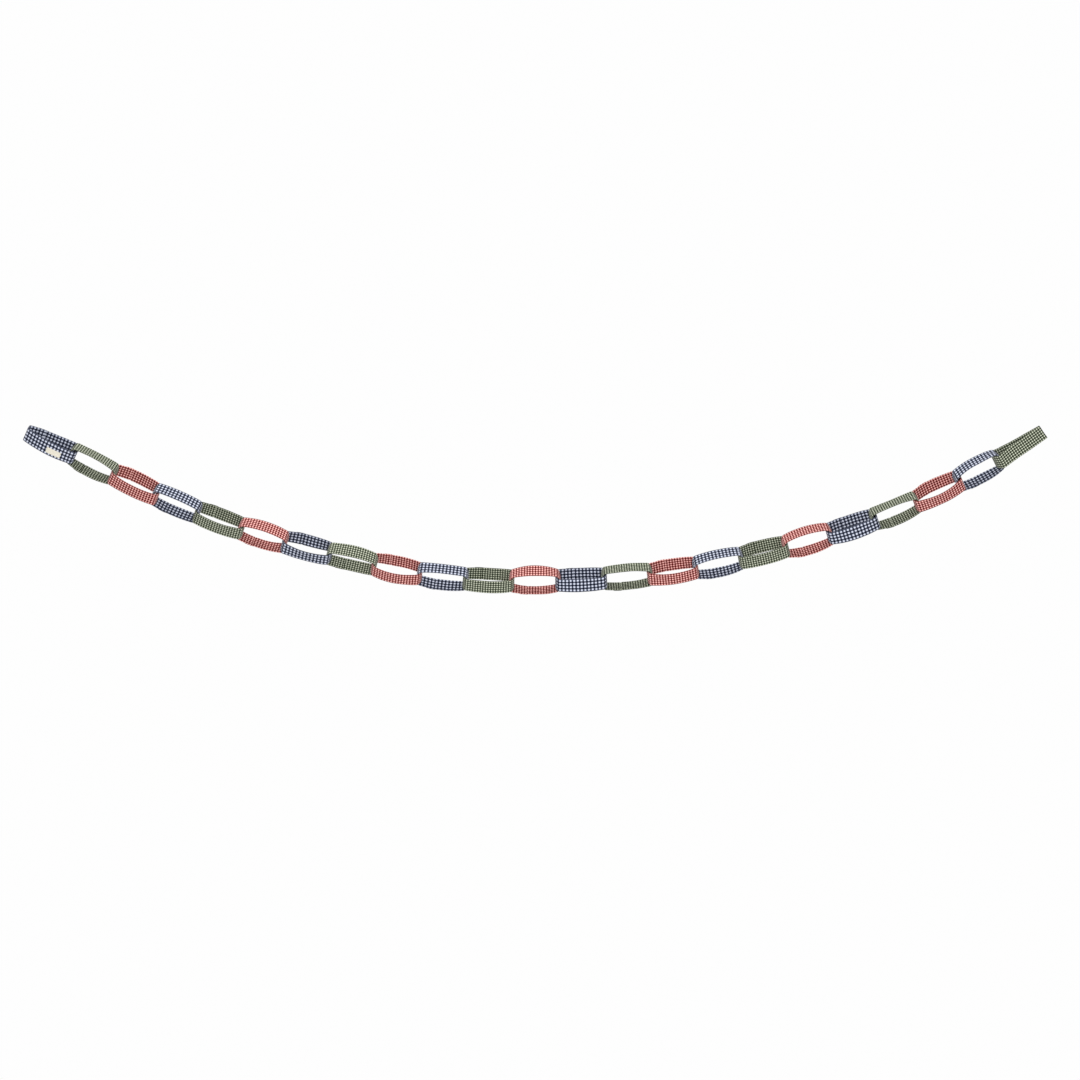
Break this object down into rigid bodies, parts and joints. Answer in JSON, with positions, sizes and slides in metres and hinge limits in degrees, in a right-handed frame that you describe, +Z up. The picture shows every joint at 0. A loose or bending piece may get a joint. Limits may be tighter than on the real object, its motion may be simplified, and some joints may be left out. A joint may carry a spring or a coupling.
{
  "type": "paper chain garland",
  "caption": "Hanging swag of linked oval loops, each a flat gingham cloth strip, in three colours, with a blank label on the left end loop.",
  "frame": {"origin": "middle of the flat face inside the left end loop, where it bears on its fixing", "axes": "+X along the span from the left end to the right end, +Y away from the viewer, +Z up as it hangs"},
  "size_m": [1.812, 0.0546, 0.3006],
  "materials": {
    "navy_gingham": "matt woven cotton, navy and white check",
    "green_gingham": "matt woven cotton, dark green and cream check",
    "red_gingham": "matt woven cotton, red and white check",
    "label": "blank cream woven label"
  },
  "bodies": {
    "root": {"link_01_navy": "navy_gingham", "link_02_green": "green_gingham", "link_03_red": "red_gingham", "link_04_navy": "navy_gingham", "link_05_green": "green_gingham", "link_06_red": "red_gingham", "link_07_navy": "navy_gingham", "link_08_green": "green_gingham", "link_09_red": "red_gingham", "link_10_navy": "navy_gingham", "link_11_green": "green_gingham", "link_12_red": "red_gingham", "link_13_navy": "navy_gingham", "link_14_green": "green_gingham", "link_15_red": "red_gingham", "link_16_navy": "navy_gingham", "link_17_green": "green_gingham", "link_18_red": "red_gingham", "link_19_navy": "navy_gingham", "link_20_green": "green_gingham", "link_21_red": "red_gingham", "link_22_navy": "navy_gingham", "link_23_green": "green_gingham", "blank_label": "label"}
  },
  "joints": []
}
